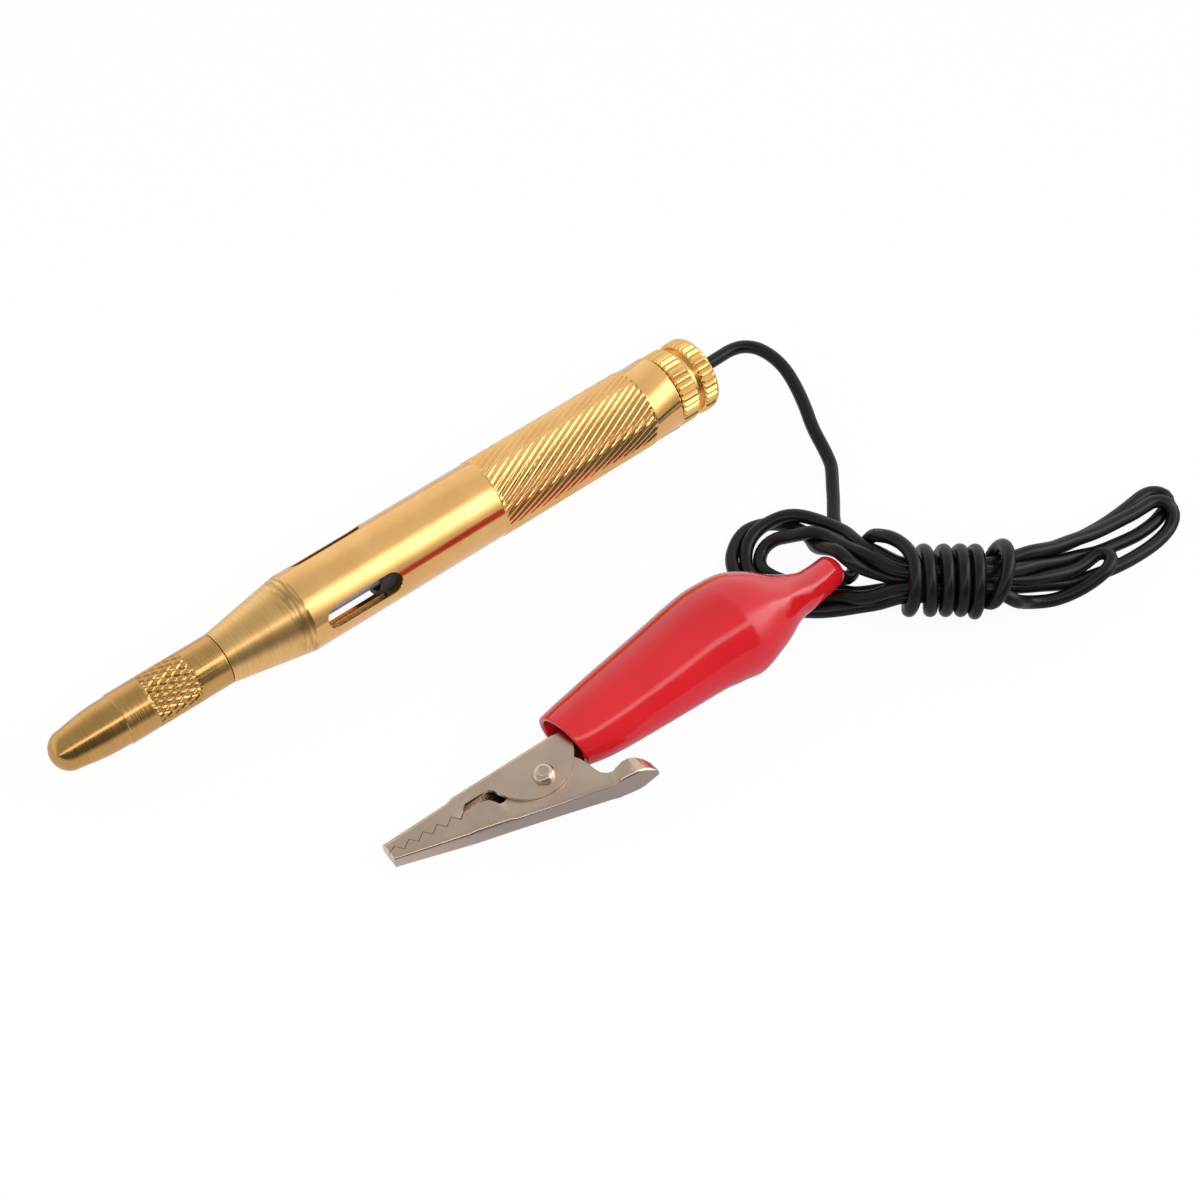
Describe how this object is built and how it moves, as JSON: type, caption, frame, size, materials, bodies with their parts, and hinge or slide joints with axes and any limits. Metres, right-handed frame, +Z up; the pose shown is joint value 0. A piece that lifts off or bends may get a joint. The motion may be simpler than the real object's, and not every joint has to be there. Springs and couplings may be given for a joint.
{
  "type": "pencil circuit tester",
  "caption": "Brass pencil-type circuit tester with a lamp behind windows, a needle under a screw-on tip cap, and a hanked lead ending in a booted crocodile clip.",
  "frame": {"origin": "on the table plane, under the middle of the tester's length (tip cap to end cap) and width", "axes": "+X along the tester from the tip cap to the end cap where the lead leaves, +Z up from the table, -Y towards the clip and the wound lead"},
  "size_m": [0.1538, 0.0717, 0.0143],
  "materials": {
    "brass": "turned, semi-bright",
    "cap_brass": "turned, semi-bright",
    "steel": "ground",
    "nickel": "nickel plated, satin",
    "lamp_glass": "clear",
    "filament": "drawn wire",
    "sleeve": "moulded, matt",
    "fibre": "fibre board",
    "copper": "stranded copper",
    "lead": "soft, satin",
    "boot": "dip-moulded, glossy"
  },
  "bodies": {
    "tester": {"barrel": "brass", "needle": "steel", "lamp_front_cap": "nickel", "lamp_glass": "lamp_glass", "lamp_filament": "filament", "lamp_rear_cap": "nickel", "insulating_sleeve": "sleeve", "contact_cup": "brass", "contact_spring": "nickel", "lead_terminal": "brass", "insulating_washer": "fibre", "lead_core": "copper", "lead_run": "lead", "lead_hank": "lead", "lead_tail": "lead", "clip_upper_jaw": "nickel", "clip_rivet": "nickel", "clip_spring": "steel", "clip_boot": "boot"},
    "tip_cap": {"tip_cap": "cap_brass"},
    "end_cap": {"end_cap": "brass"},
    "lower_jaw": {"clip_lower_jaw": "nickel"}
  },
  "joints": [
    {"name": "tip_cap_off", "type": "slide", "parent": "tester", "child": "tip_cap", "axis": [-1, 0, 0], "range_m": [0, 0.026]},
    {"name": "end_cap_off", "type": "slide", "parent": "tester", "child": "end_cap", "axis": [1, 0, 0], "range_m": [0, 0.007]},
    {"name": "jaw_open", "type": "hinge", "parent": "tester", "child": "lower_jaw", "pos_m": [-0.00638, -0.04273, 0.00358], "axis": [-0.1076, 0.0056, 0.9942], "range_deg": [0, 14], "stiffness_Nm_per_rad": 0.12, "springref_deg": -14.32, "deforming": ["clip_spring"]}
  ]
}
